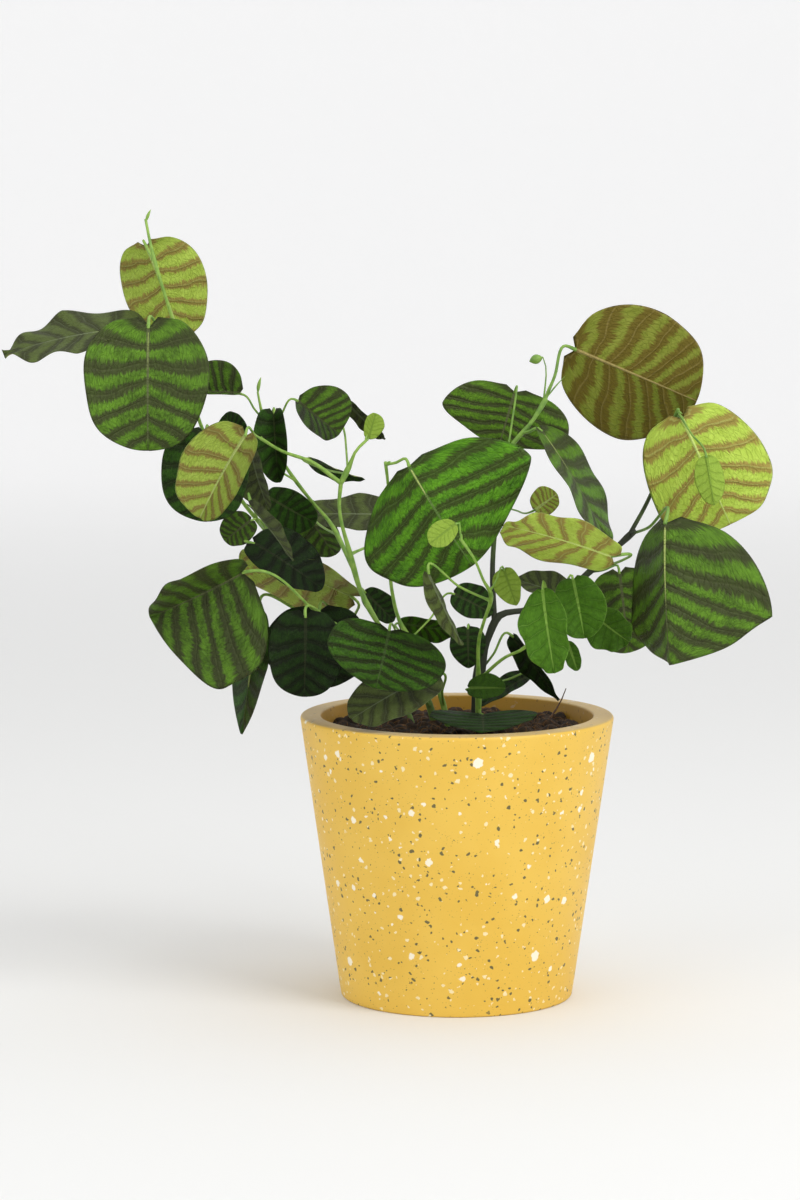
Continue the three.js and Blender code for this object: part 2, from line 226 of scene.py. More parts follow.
tree, plug = new_finish("speckled_pot")
here = add(tree, "ShaderNodeTexCoord", output=3)
shift = add(tree, "ShaderNodeTexNoise", {}, {"Vector": here, "Scale": 520.0, "Detail": 1.0}, output=1)
rough_place = add(tree, "ShaderNodeVectorMath", {"operation": "MULTIPLY_ADD"},
                  {0: shift, 1: (0.0022, 0.0022, 0.0022), 2: here})
height = add(tree, "ShaderNodeSeparateXYZ", {}, {0: here}, output=2)
across_pot = add(tree, "ShaderNodeVectorMath", {"operation": "MULTIPLY"}, {0: here, 1: (1, 1, 0)})
radius = add(tree, "ShaderNodeVectorMath", {"operation": "LENGTH"}, {0: across_pot}, output=1)
cloud = noise(tree, here, 26.0)
glaze = mix(tree, cloud.step(0.3, 0.7), rgb("#e9bf4d"), rgb("#e4b843"))
white = chips(tree, rough_place, 0.0090, 0.0026, 0.85)
small_white = chips(tree, rough_place, 0.0037, 0.0011, 0.85)
olive = chips(tree, rough_place, 0.0031, 0.0010, 0.90)
dust = chips(tree, here, 0.0013, 0.0003, 0.90)
colour = mix(tree, 0.75 * dust, glaze, rgb("#a98a3a"))
colour = mix(tree, olive, colour, rgb("#6b6238"))
colour = mix(tree, small_white, colour, rgb("#f3e0ab"))
colour = mix(tree, white, colour, rgb("#f8efd6"))
# painted shade: the inside of the wall, a recess above the soil, is darkened to a deeper yellow
inner = (radius - 0.144 * height).step(0.0462, 0.0455)
colour = mix(tree, 0.8 * inner, colour, rgb("#b07f20"))
top_face = height.step(0.1349, 0.1353)
colour = mix(tree, 0.7 * top_face, colour, rgb("#c3a877"))
grain = noise(tree, here, 900.0)
bump = add(tree, "ShaderNodeBump", {}, {"Strength": 0.06, "Distance": 0.0003, "Height": grain})
pot_finish = plug(Base_Color=colour, Roughness=0.42 + 0.1 * cloud, Normal=bump)
print("pot finish", len(tree.nodes), "nodes")

# %% [markdown]
# The pot is round, so its shape is one profile carried round the upright axis. The profile
# runs from the middle of the base, up the outside, over the rim and down the inside, and a
# small arc at every corner catches the light as a real cast edge does.

# %% The pot
RIM, FOOT, TALL, WALL, FLOOR = 0.075, 0.0555, 0.1355, 0.010, 0.012


def wall_at(z):
    """Radius of the outside, which widens evenly from foot to rim."""
    return FOOT + (RIM - FOOT) * z / TALL


def arc(middle, radius, start, end, steps=7):
    """Points of a circle about the middle, between two angles in degrees."""
    a = np.radians(np.linspace(start, end, steps))
    return np.stack([middle[0] + radius * np.cos(a), middle[1] + radius * np.sin(a)], 1)


tilt = np.degrees(np.arctan2(RIM - FOOT, TALL))
outer_edge, inner_edge = 0.0016, 0.0010
upward = np.linspace(0.006, TALL - 0.004, 24)
downward = np.linspace(TALL - 0.004, FLOOR + 0.004, 12)
outside = np.stack([wall_at(upward), upward], 1)
inside = np.stack([wall_at(downward) - WALL, downward], 1)
profile = np.concatenate([
    [(0, 0)],
    arc((wall_at(0.0012) - 0.0013, 0.0012), 0.0012, -90, -tilt),
    outside,
    arc((wall_at(TALL - outer_edge) - outer_edge, TALL - outer_edge), outer_edge, -tilt, 90),
    arc((wall_at(TALL) - WALL + inner_edge, TALL - inner_edge), inner_edge, 90, 180),
    inside,
    arc((wall_at(FLOOR) - WALL - 0.002, FLOOR + 0.002), 0.002, 0, -90),
    [(0, FLOOR)],
])
pot = build("pot_cast", [(turned(profile, 144), {}, 0)], [pot_finish], "pot", "pot")
print("pot", len(pot.data.polygons), "faces, wall leans", round(float(tilt), 1), "degrees")

# %% [markdown]
# Compost is a heap of crumbs. Thousands of separate grains would be heavy, and noise alone
# looks like cloth. Here every point of one disc rises to the top of the crumb it lies under,
# so the bed is a single skin with the round tops and dark gaps of loose soil.

# %% The soil
rng = np.random.default_rng(7)
SOIL_TOP, SOIL_EDGE = 0.1285, 0.0634
SOIL_BASE, SOIL_FOOT = 0.0135, 0.0447
CRUMB_DIP = 0.0015


def crumb_bed(x, y, spots, sizes):
    """Height over the bed: the highest of all half spheres, the root of size² minus distance²."""
    gap = (x[..., None] - spots[:, 0]) ** 2 + (y[..., None] - spots[:, 1]) ** 2
    return np.sqrt(np.maximum(sizes**2 - gap, 0)).max(-1)


def scatter(count, reach):
    """Even random places on a disc: the distance out is the root of a random share."""
    angle = rng.uniform(0, 2 * np.pi, count)
    out = reach * np.sqrt(rng.uniform(0, 1, count))
    return np.stack([out * np.cos(angle), out * np.sin(angle)], 1)


out, angle = np.meshgrid(np.linspace(0, SOIL_EDGE, 90), np.linspace(0, 2 * np.pi, 241), indexing="ij")
x, y = out * np.cos(angle), out * np.sin(angle)
big = crumb_bed(x, y, scatter(260, SOIL_EDGE), rng.uniform(0.0018, 0.0045, 260))
fine = crumb_bed(x, y, scatter(900, SOIL_EDGE), rng.uniform(0.0008, 0.0019, 900))
mound = 0.0016 * np.cos(np.pi * np.minimum(out / SOIL_EDGE, 1) / 2)
z = SOIL_TOP - CRUMB_DIP + mound + np.maximum(big, fine)
z[-1] = SOIL_TOP - CRUMB_DIP
bed = np.stack([x, y, z], -1)
side = [(SOIL_EDGE, SOIL_TOP - CRUMB_DIP), (SOIL_FOOT, SOIL_BASE), (0, SOIL_BASE)]
skirt = turned(np.array(side), 240)
bed[:, -1] = bed[:, 0]
bed[0] = bed[0].mean(0)

tree, plug = new_finish("compost")
here = add(tree, "ShaderNodeTexCoord", output=3)
lump = noise(tree, here, 260.0, 5.0, 0.7)
colour = mix(tree, lump.step(0.35, 0.7), rgb("#130c06"), rgb("#4a3218"))
fibre = add(tree, "ShaderNodeTexVoronoi", {"feature": "DISTANCE_TO_EDGE"},
            {"Vector": here, "Scale": 130.0})
colour = mix(tree, 0.7 * fibre.step(0.03, 0.0), colour, rgb("#7a5428"))
bump = add(tree, "ShaderNodeBump", {}, {"Strength": 0.7, "Distance": 0.0012, "Height": lump})
soil_finish = plug(Base_Color=colour, Roughness=0.92, Normal=bump)
soil = build("soil_bed", [(bed, {}, 0), (skirt, {}, 0)], [soil_finish], "soil", "soil", weld=2e-5)
print("soil", len(soil.data.polygons), "faces, top at", round(float(z.max()), 4))

# %% [markdown]
# A leaf of this plant is two broad wings on one midrib, banded with brown along its side
# veins. It could be cut from a flat picture, but from the side a picture is a line. Instead
# its outline comes from one stretched circle per wing: a vein number s goes round the circle
# from the notch at the stalk to the tip, and t goes out along that vein from the midrib. The
# flat blade is folded about its midrib, curled, drooped, quilted between the veins and waved
# at the margin.

# %% The shape of a blade
NOTCH, VEIN_SPREAD, TIP_WIDTH = np.radians(12), 0.72, 0.012
SIDE_VEINS = 7


def directions(aim, lean, roll):
    """Along the midrib, across it, and out of the upper face, from three angles in degrees."""
    aim, lean, roll = np.radians([aim, lean, roll])
    along = np.array([np.cos(aim) * np.cos(lean), np.sin(lean), np.sin(aim) * np.cos(lean)])
    up = np.array([0.0, -1.0, 0.0])
    up = up - up @ along * along
    up /= np.linalg.norm(up)
    up = up * np.cos(roll) + np.cross(along, up) * np.sin(roll)
    return along, np.cross(up, along), up


def blade(s, t, breadth, turn, bend, outline, wave, phase):
    """A blade one unit long, its stalk end at the origin.

    Outline: x = widest - reach cos(around), y = half breadth times sin(around) to a power.
    A point is x = s + |t| (x of outline - s), y = |t| (y of outline). Each wing then bends
    along an arc of its own across the midrib, and the midrib along an arc of droop.
    """
    widest, lobe, corner, *other = outline
    corner = np.where(t < 0, other[0] if other else corner, corner)
    half = breadth / 2
    around = NOTCH + (np.pi - NOTCH) * s**VEIN_SPREAD
    behind = around < np.pi / 2
    power = np.where(behind, 1.0, 2 / corner)
    reach = np.where(behind, (widest + lobe) / np.cos(NOTCH), 1 - widest)
    cos = np.cos(around)
    edge_x = widest - reach * np.sign(cos) * np.abs(cos) ** power
    edge_y = half * np.maximum(np.sin(around), 0) ** power + TIP_WIDTH
    out = np.abs(t)
    rounded = out * (1 - 0.3 * np.exp(-((s / 0.035) ** 2)))
    rounded = rounded * (1 + 0.025 * np.sin(2 * np.pi * (2.1 * s + 1.7 * phase + 0.37 * np.sign(t))))
    x = s + rounded * (edge_x - s)
    y = rounded * edge_y
    fold, curl, droop = np.radians(np.where(np.abs(bend) < 0.1, 0.1, bend))
    per_unit = curl / half
    end = fold + per_unit * y
    sideways = (np.sin(end) - np.sin(fold)) / per_unit
    rise = (np.cos(fold) - np.cos(end)) / per_unit
    quilt = 0.009 * np.sin(np.pi * SIDE_VEINS * s) ** 2 * np.sin(np.pi * np.minimum(out, 1) ** 0.8)
    ripple = wave * out**2.5 * np.sin(2 * np.pi * (3.2 * s + phase + 0.3 * np.sign(t)))
    swell = 0.5 * wave * out * np.sin(2 * np.pi * (1.3 * s + 2.7 * phase))
    rise = rise + quilt + ripple + swell
    a = droop * x
    forward = np.sin(a) / droop + rise * np.sin(a)
    height = (np.cos(a) - 1) / droop + rise * np.cos(a)
    scale = droop / (2 * np.sin(droop / 2))
    c, n = np.cos(droop / 2), np.sin(droop / 2)
    along, across, up = directions(*turn)
    return scale * (
        (forward * c - height * n)[..., None] * along
        + (sideways * np.sign(t))[..., None] * across
        + (forward * n + height * c)[..., None] * up
    ), y


print("one blade bends along", np.round(directions(-90, 0, 0)[0], 2))

# %% [markdown]
# The bands lie along the side veins, so the finish reads marks that the mesh carries: the
# vein number, how far out along it, how far from the midrib, and a random number per leaf.
# The distance to the nearest vein gives stripes, noise stretched across them gives feathered
# edges, and a finer net gives the small veins. One more mark scales the colour of each leaf:
# its own tone, and painted shade on the leaves that lie in shadow.

# %% The leaf finishes
def read(tree, mark):
    """A mark of the mesh, as a number that changes over the surface."""
    return add(tree, "ShaderNodeAttribute", {"attribute_name": mark}, output=2)


def leaf_finish(name, ground, bright, band, rib, width, strength, rough, net, patchy):
    """Bands of one colour over a ground of two, with a midrib and a net of fine veins."""
    tree, plug = new_finish(name)
    s, t, seed, off = (read(tree, mark) for mark in ("vein", "out", "seed", "off"))
    tone_and_shade = read(tree, "tone_and_shade")
    place = add(tree, "ShaderNodeCombineXYZ", {}, {0: s * 9, 1: t * 3.2, 2: seed * 31})
    wander = noise(tree, place, 0.6, 1.0)
    phase = s * SIDE_VEINS + 0.6 * (wander - 0.5) - 0.35 * t * (1 - t)
    away = 2 * phase.math("PINGPONG", 0.5)
    comb_place = add(tree, "ShaderNodeCombineXYZ", {}, {0: s * 8, 1: t * 30, 2: seed * 13})
    comb = noise(tree, comb_place, 1.0, 3.0, 0.6)
    edge = away + 1.1 * (comb - 0.5)
    patches = noise(tree, place, 1.6, 4.0, 0.6)
    wide = width + patchy * (patches - 0.5)
    banded = (edge - wide).step(0.18, -0.18)
    speck_place = add(tree, "ShaderNodeCombineXYZ", {}, {0: s * 40, 1: t * 60, 2: seed * 7})
    speck = noise(tree, speck_place, 1.0, 3.0, 0.7)
    colour = mix(tree, (patches * 0.6 + speck * 0.5).step(0.35, 0.75), ground, bright)
    colour = mix(tree, strength * banded, colour, band)
    vein = away.step(0.09, 0.02) * (1.1 - t).math("MINIMUM", 0.25)
    colour = mix(tree, vein, colour, rib)
    midrib = (off - 0.0007 * (1.15 - s)).step(0.00025, -0.0001)
    colour = mix(tree, 0.9 * midrib, colour, rib)
    colour = mix(tree, 0.5 * t.step(0.965, 0.995), colour, rib)
    # painted shade: the colour is scaled per leaf, low for the leaves that lie in shadow, and otherwise
    # by the leaf's own tone
    shade = add(tree, "ShaderNodeCombineColor", {}, {0: tone_and_shade, 1: tone_and_shade, 2: tone_and_shade})
    colour = mix(tree, 1.0, colour, shade, "MULTIPLY")
    mesh_place = add(tree, "ShaderNodeCombineXYZ", {}, {0: s * 24, 1: t * 15, 2: seed * 5})
    cells = add(tree, "ShaderNodeTexVoronoi", {"feature": "DISTANCE_TO_EDGE"},
                {"Vector": mesh_place, "Scale": 1.0})
    relief = net * cells.step(0.0, 0.12) + 1.4 * net * away.step(0.0, 0.22) + 0.4 * speck
    bump = add(tree, "ShaderNodeBump", {}, {"Strength": 0.7, "Distance": 0.0005, "Height": relief})
    return plug(Base_Color=colour, Roughness=rough + 0.12 * speck, Specular_IOR_Level=0.16, Normal=bump)


# the name of the finish, then its colours (ground, bright, band, rib), the width and strength
# of its bands, its roughness, how far its net of veins stands out, and how patchy it is
LOOKS = {
    "mature": ("#3f581b", "#679428", "#3a3a24", "#5d6440", 0.50, 0.85, 0.46, 1.0, 0.6),
    "vivid": ("#33590f", "#5f9a1c", "#353c18", "#5f7c3c", 0.47, 0.85, 0.44, 1.0, 0.6),
    "dark": ("#233f10", "#3f6a1c", "#232b14", "#4d5a34", 0.46, 0.80, 0.48, 1.0, 0.6),
    "grey": ("#4a5428", "#5e6e36", "#35371f", "#6f7a58", 0.46, 0.80, 0.52, 0.8, 0.6),
    "fresh": ("#3a5f10", "#52801f", "#345a12", "#7da244", 0.22, 0.50, 0.46, 0.8, 0.5),
    "young": ("#8fae3c", "#a4c250", "#7d9a34", "#86a440", 0.20, 0.50, 0.52, 0.6, 0.5),
    "lime": ("#869a36", "#a0b64c", "#7a5f34", "#a9b86a", 0.42, 0.80, 0.55, -1.0, 0.9),
    "brown": ("#707a24", "#848c36", "#604e16", "#a3925a", 0.62, 0.85, 0.55, -1.0, 0.8),
}
FINISHES = {}
for name, (*colours, width, strength, rough, net, patchy) in LOOKS.items():
    FINISHES[name] = leaf_finish("leaf_" + name, *map(rgb, colours), width, strength, rough, net, patchy)
print("leaf finishes", sorted(FINISHES))

# %% [markdown]
# Every leaf is the same surface with its own habit: how it is turned, bent, and cut, and
# which finish it wears. Where it hangs and how long it is aren't repeated here. They come
# from the leaf's own solid in the frame, because a blade of the right habit that fills the
# same box is in the same place.

# %% The habit of every leaf
# name: turn (aim, lean, roll), breadth, bend (fold, curl, droop),
#       outline (widest, lobe, corner, and the other wing's corner where it differs),
#       slot, finish above, finish below, tone and painted shade (low for a leaf in shadow), wave
LEAVES = {
    "crown_lime": ((-70, 10, 188), 0.88, (14, 10, 10), (0.42, 0.08, 2.0),
        "lime", "mature", "lime", 1.2, 0.022),
    "far_left": ((-169, -8, 70), 0.72, (2, 6, 20), (0.5, 0.08, 1.5),
        "dark", "grey", "lime", 0.95, 0.03),
    "round_left": ((-90, -8, 4), 1.03, (8, 12, 14), (0.42, 0.13, 2.1),
        "mature", "mature", "lime", 1.0, 0.012),
    "small_left": ((177, 0, 45), 1.25, (45, 0, 0), (0.5, 0.08, 2.0),
        "mature", "mature", "lime", 0.85, 0.01),
    "hanging_left": ((-86, -8, 10), 0.86, (50, 10, 20), (0.45, 0.1, 1.6),
        "dark", "dark", "lime", 0.85, 0.012),
    "striped_fold": ((-119, -12, 152), 0.92, (28, 8, 20), (0.5, 0.1, 1.9),
        "lime", "mature", "lime", 0.9, 0.012),
    "behind_fold": ((-89, -5, 6), 1.04, (10, 12, 14), (0.45, 0.12, 2.0),
        "dark", "dark", "lime", 0.8, 0.012),
    "above_fold": ((133, 10, -20), 1.15, (15, 10, 0), (0.5, 0.12, 2.0),
        "dark", "dark", "lime", 0.8, 0.012),
    "grey_hanging": ((-73, -5, 55), 0.95, (12, 10, 10), (0.45, 0.12, 1.7),
        "dark", "grey", "lime", 0.95, 0.012),
    "grey_narrow": ((-52, -10, 250), 0.6, (10, 10, 10), (0.45, 0.12, 1.6),
        "brown", "dark", "grey", 0.8, 0.012),
    "inner_green": ((-30, 5, 20), 0.9, (12, 10, 10), (0.45, 0.12, 1.8),
        "mature", "dark", "lime", 1.0, 0.012),
    "inner_low": ((-143, -10, 25), 1.1, (10, 10, 10), (0.5, 0.12, 2.0),
        "mature", "mature", "lime", 0.8, 0.012),
    "long_behind": ((180, 3, 62), 0.5, (2, 8, 8), (0.42, 0.1, 1.5),
        "dark", "grey", "lime", 0.9, 0.015),
    "upper_ovate": ((-38, -5, 32), 1.35, (-32, 6, 8), (0.66, 0.06, 2.2),
        "mature", "mature", "lime", 0.85, 0.01),
    "upper_dark": ((-45, 8, 40), 0.36, (12, 10, 6), (0.45, 0.08, 1.5),
        "dark", "grey", "lime", 0.6, 0.02),
    "lime_bud": ((73, 5, 25), 0.9, (20, 10, 0), (0.6, 0.04, 2.0),
        "lime", "young", "young", 1.0, 0.01),
    "upper_narrow": ((-22, 5, 68), 0.7, (10, 10, 12), (0.45, 0.1, 1.4),
        "dark", "dark", "lime", 0.8, 0.012),
    "shade_large": ((-33, -10, -48), 0.85, (10, 10, 10), (0.45, 0.1, 1.6),
        "dark", "dark", "lime", 0.25, 0.012),
    "shade_back": ((-58, 5, 30), 0.9, (10, 10, 8), (0.45, 0.12, 1.8),
        "mature", "mature", "lime", 0.8, 0.012),
    "lime_low": ((158, -5, 122), 0.95, (-14, 10, 8), (0.45, 0.1, 1.7),
        "lime", "mature", "lime", 1.0, 0.012),
    "big_low": ((-155, -8, -34), 1.9, (34, 8, 12), (0.6, 0.08, 1.5),
        "dark", "mature", "lime", 0.75, 0.022),
    "folded_low": ((-98, -4, -4), 0.56, (-60, 0, 8), (0.45, 0.05, 1.3),
        "dark", "dark", "lime", 0.85, 0.012),
    "dark_low": ((-91, -8, -8), 0.98, (10, 10, 14), (0.48, 0.14, 1.9),
        "dark", "dark", "lime", 0.3, 0.012),
    "dark_low_back": ((-90, -4, 10), 1.45, (10, 10, 10), (0.5, 0.1, 1.7),
        "dark", "dark", "lime", 0.3, 0.012),
    "front_striped": ((-104, -30, -8), 1.95, (8, 10, 14), (0.52, 0.08, 1.8),
        "mature", "vivid", "lime", 0.42, 0.012),
    "over_rim": ((-153, -20, 61), 0.85, (-4, 8, 10), (0.5, 0.08, 2.0),
        "dark", "grey", "lime", 0.85, 0.012),
    "centre_large": ((-57, -12, 19), 1.78, (-19, 6, 14), (0.5, 0.05, 1.35, 2.0),
        "mature", "vivid", "lime", 1.0, 0.016),
    "centre_back": ((-106, 8, 4), 2.3, (4, 12, 10), (0.48, 0.12, 1.5),
        "mature", "mature", "lime", 1.15, 0.016),
    "centre_long": ((-60, -6, -72), 0.75, (4, 6, 14), (0.45, 0.08, 1.6),
        "mature", "mature", "lime", 0.95, 0.014),
    "shoot_lime": ((-143, -4, 20), 0.82, (10, 10, 0), (0.62, 0.02, 1.6),
        "lime", "young", "young", 1.0, 0.006),
    "brown_right": ((-23, 4, 184), 1.0, (8, 8, 10), (0.54, 0.08, 2.0),
        "brown", "mature", "brown", 1.0, 0.01),
    "lime_right": ((-65, 4, 182), 1.04, (6, 8, 10), (0.54, 0.1, 2.8),
        "lime", "mature", "lime", 1.6, 0.014),
    "lime_small": ((-80, 4, 180), 0.6, (10, 8, 4), (0.52, 0.06, 1.6),
        "lime", "young", "young", 1.1, 0.012),
    "big_right": ((-88, -8, 38), 1.44, (-39, 8, 12), (0.7, 0.08, 1.4),
        "mature", "mature", "lime", 0.95, 0.016),
    "behind_right": ((-83, 4, -10), 1.0, (8, 8, 8), (0.52, 0.1, 1.7),
        "dark", "mature", "lime", 1.0, 0.012),
    "lime_front": ((163, -10, 120), 0.95, (-6, 10, 10), (0.5, 0.08, 2.0),
        "lime", "mature", "lime", 1.5, 0.018),
    "lime_edge": ((36, 6, 200), 1.2, (10, 10, 0), (0.5, 0.08, 2.0),
        "lime", "young", "lime", 1.0, 0.01),
    "fresh_hanging": ((-82, -10, 24), 0.62, (14, 10, 12), (0.5, 0.02, 1.8),
        "mature", "fresh", "young", 1.2, 0.045),
    "fresh_cupped": ((-79, -12, -6), 0.95, (20, 16, 20), (0.55, 0.06, 1.8),
        "mature", "fresh", "young", 1.0, 0.045),
    "fresh_behind": ((-37, -5, 30), 1.0, (10, 10, 10), (0.5, 0.08, 2.0),
        "mature", "fresh", "young", 0.85, 0.045),
    "fresh_small": ((-71, -8, 10), 0.55, (10, 10, 6), (0.5, 0.04, 1.8),
        "mature", "fresh", "young", 0.9, 0.045),
    "mid_grey": ((-64, -10, 110), 0.5, (10, 10, 6), (0.45, 0.08, 1.4),
        "dark", "dark", "grey", 1.0, 0.012),
    "mid_dark": ((-27, -5, -30), 0.9, (10, 10, 10), (0.45, 0.08, 1.6),
        "dark", "dark", "lime", 0.6, 0.012),
    "mid_striped": ((-8, -5, 40), 0.62, (10, 10, 6), (0.5, 0.08, 1.8),
        "mature", "vivid", "lime", 0.8, 0.012),
    "mid_heart": ((-89, -10, 6), 0.95, (10, 10, 10), (0.42, 0.1, 1.5),
        "dark", "dark", "lime", 0.6, 0.012),
    "mid_left": ((-45, 5, -30), 0.72, (10, 10, 8), (0.5, 0.08, 1.7),
        "dark", "dark", "lime", 0.5, 0.012),
    "low_small": ((2, -15, -40), 0.8, (10, 10, 10), (0.5, 0.08, 1.8),
        "mature", "fresh", "young", 0.6, 0.012),
    "black_narrow": ((-54, -5, 50), 0.42, (14, 6, 6), (0.42, 0.06, 1.2),
        "dark", "dark", "lime", 0.4, 0.012),
    "dark_curved": ((-150, -14, 60), 0.5, (14, 6, 12), (0.45, 0.06, 1.3),
        "dark", "dark", "lime", 0.6, 0.012),
    "lime_tip": ((-71, -5, 20), 0.85, (20, 8, 4), (0.42, 0.08, 1.4),
        "lime", "young", "young", 0.85, 0.012),
    "grey_right": ((161, 6, 64), 0.85, (8, 10, 8), (0.48, 0.08, 1.7),
        "dark", "grey", "lime", 1.0, 0.012),
    "in_pot": ((-90, -78, 0), 2.1, (6, 8, 8), (0.55, 0.08, 1.8),
        "dark", "dark", "lime", 0.6, 0.012),
}
print(len(LEAVES), "leaves")

# %% [markdown]
# A blade is a skin of two faces, and a single sheet would be open at its edge. So the sheet is
# lifted a little to each side, least at the margin, and the two faces are welded there. The
# midrib stands out under a real leaf, and a thin tapering tube below the blade gives it.

# %% The leaves
def strip(path, radius, around=8):
    """A tube: a ring of the radius at each point of the path, set square to it."""
    along = np.gradient(path, axis=0)
    along /= np.linalg.norm(along, axis=1, keepdims=True)
    fixed = np.eye(3)[np.abs(along).mean(0).argmin()]
    side = np.cross(along, fixed)
    side /= np.linalg.norm(side, axis=1, keepdims=True)
    third = np.cross(along, side)
    a = np.linspace(0, 2 * np.pi, around + 1)[:, None]
    ring = np.cos(a) * side[:, None] + np.sin(a) * third[:, None]
    return path[:, None] + radius[:, None, None] * ring


def leaf(name, number, turn, breadth, bend, outline, slot, above, below, tone_and_shade, wave):
    """The blade that fills its solid's box: two faces that meet at the margin, and a midrib."""
    low, high = (np.array(corner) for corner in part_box("leaf_" + name))
    small = np.linalg.norm(high - low) < 0.035
    rows, half = (41, 12) if small else (65, 18)
    s = np.linspace(0, 1, rows)[:, None] + np.zeros(2 * half + 1)
    out = np.linspace(0, 1, half + 1) ** 0.85
    t = np.concatenate([-out[:0:-1], out]) + np.zeros((rows, 1))
    phase = 0.37 * number % 1
    flat, y = blade(s, t, breadth, turn, np.array(bend), outline, wave, phase)
    own_low, own_high = flat.min((0, 1)), flat.max((0, 1))
    size = np.linalg.norm(high - low) / np.linalg.norm(own_high - own_low)
    middle = (low + high) / 2 - size * (own_low + own_high) / 2
    points = middle + size * flat
    normal = np.cross(np.gradient(points, axis=0), np.gradient(points, axis=1))
    normal /= np.linalg.norm(normal, axis=2, keepdims=True)
    thin = np.sqrt(1 - np.abs(t) ** 16) * np.sqrt(np.maximum(1 - np.abs(2 * s - 1) ** 40, 0))
    lift = normal * (0.00018 * thin)[..., None]
    seed = np.full(s.shape, (0.618 * number) % 1)
    # the last mark is each leaf's own tone, with painted shade on the leaves that lie in shadow
    marks = {"vein": s, "out": np.abs(t), "seed": seed, "off": size * y, "tone_and_shade": seed * 0 + tone_and_shade}
    rib_path = (points - 1.2 * lift)[: int(0.96 * rows), half]
    share = np.linspace(0, 1, len(rib_path))
    rib_radius = (0.00022 + 0.006 * size) * (1 - share) ** 0.7 * np.minimum(1, 20 * share)
    rib = strip(rib_path, rib_radius, 6)
    even = np.ones(rib.shape[:2])
    rib_marks = {"vein": even * share[:, None], "out": 0 * even, "seed": seed[0, 0] * even,
                 "off": 0 * even, "tone_and_shade": tone_and_shade * even}
    sheets = [(points + lift, marks, 0), (points - lift, marks, 1), (rib, rib_marks, 1)]
    finishes = [FINISHES[above], FINISHES[below]]
    piece = build("blade_" + name, sheets, finishes, "leaf_" + slot, "leaf_" + name)
    off_box = np.abs(np.array([points.min((0, 1)) - low, points.max((0, 1)) - high])).max()
    along, _, up = directions(*turn)
    return piece, {"base": points[0, half], "along": along, "up": up, "long": size, "off": off_box}


GROWN = {}
for number, (name, habit) in enumerate(LEAVES.items()):
    piece, GROWN[name] = leaf(name, number, *habit)
worst = max((grown["off"], name) for name, grown in GROWN.items())
print("leaves made; the worst fit is", worst[1], round(1000 * worst[0], 1), "mm")

# %% [markdown]
# A stem is a tube, but a living one: it swells where a leaf leaves it, thins towards its tip,
# and its stalks are a little thicker at both ends. The path is a smooth curve through a few
# points, and the radius is a function of the distance along it. The old stem at the right has
# darkened to wood, so a mark on the mesh fades the finish from bark to green.

# %% The shape of a stem
def smooth(points, radius, step=0.0035):
    """The cubic through the points whose slopes are their chords, in even steps of its length."""
    p = np.asarray(points, float)
    u = np.concatenate([[0], np.cumsum(np.linalg.norm(np.diff(p, axis=0), axis=1))])
    slope = np.gradient(p, u, axis=0)
    inner = np.linspace(radius, u[-1] - radius, max(4, int(u[-1] / step)))
    q = np.concatenate([[0, 0.3 * radius], inner, [u[-1] - 0.3 * radius, u[-1]]])
    k = np.clip(np.searchsorted(u, q, side="right") - 1, 0, len(p) - 2)
    h = (u[k + 1] - u[k])[:, None]
    w = ((q - u[k]) / h[:, 0])[:, None]
    path = (1 + 2 * w) * (1 - w) ** 2 * p[k] + w * (1 - w) ** 2 * h * slope[k]
    path += w**2 * (3 - 2 * w) * p[k + 1] + w**2 * (w - 1) * h * slope[k + 1]
    return path, q / u[-1]


def limb(points, radius, taper, bark, knots=()):
    """A tube whose radius shrinks by the taper, swells at each knot, and is closed at both ends."""
    path, share = smooth(points, radius)
    width = radius * (1 - taper * share)
    for knot in knots:
        width = width * (1 + 0.35 * np.exp(-(((share - knot) * len(path) / 2.2) ** 2)))
    width[[0, -1]] = 0
    grid = strip(path, width, 12)
    fade = bark[0] + (bark[1] - bark[0]) * share[:, None]
    return path, share, (grid, {"bark": np.broadcast_to(fade, grid.shape[:2])}, 0)


def stalk(start, name, bark):
    """A thin tube from the stem to the blade, which it meets along the midrib's own line."""
    at = GROWN[name]
    base, along, up, long = at["base"], at["along"], at["up"], at["long"]
    side = 1 if (start - base) @ up > 0 else -1
    reach = min(0.09 * long, 0.25 * np.linalg.norm(base - start))
    near = base - reach * along + 0.5 * side * reach * up
    middle = start + 0.5 * (near - start) + np.array([0, 0, -0.04 * np.linalg.norm(near - start)])
    radius = 0.00035 + 0.006 * long
    path, share = smooth([start, middle, near, base + 0.0004 * along], radius, 0.0018)
    at_stem = 0.4 * np.exp(-((share / 0.07) ** 2))
    at_blade = 0.35 * np.exp(-(((1 - share) / 0.10) ** 2))
    width = radius * (1 + at_stem + at_blade)
    width[[0, -1]] = 0
    grid = strip(path, width, 8)
    fade = bark * (1 - share[:, None]) ** 2
    return grid, {"bark": np.broadcast_to(fade, grid.shape[:2])}, 0


def scale_leaf(at, toward, long, radius):
    """A pointed bud or dry scale: a spindle whose radius is the sine of the share along it."""
    share = np.linspace(0, 1, 9)
    path = at + share[:, None] * long * np.asarray(toward) / np.linalg.norm(toward)
    path = path + (share**2)[:, None] * np.array([0.2 * long, 0, 0])
    grid = strip(path, radius * np.sin(np.pi * share) ** 0.8 * (1.2 - 0.5 * share), 8)
    return grid, {"bark": np.full(grid.shape[:2], 0.15)}, 0


print("stem helpers ready")

# %% [markdown]
# Stems are green where they are young and dark and corky where they are old. One finish does
# both, so that there is no line where one becomes the other.

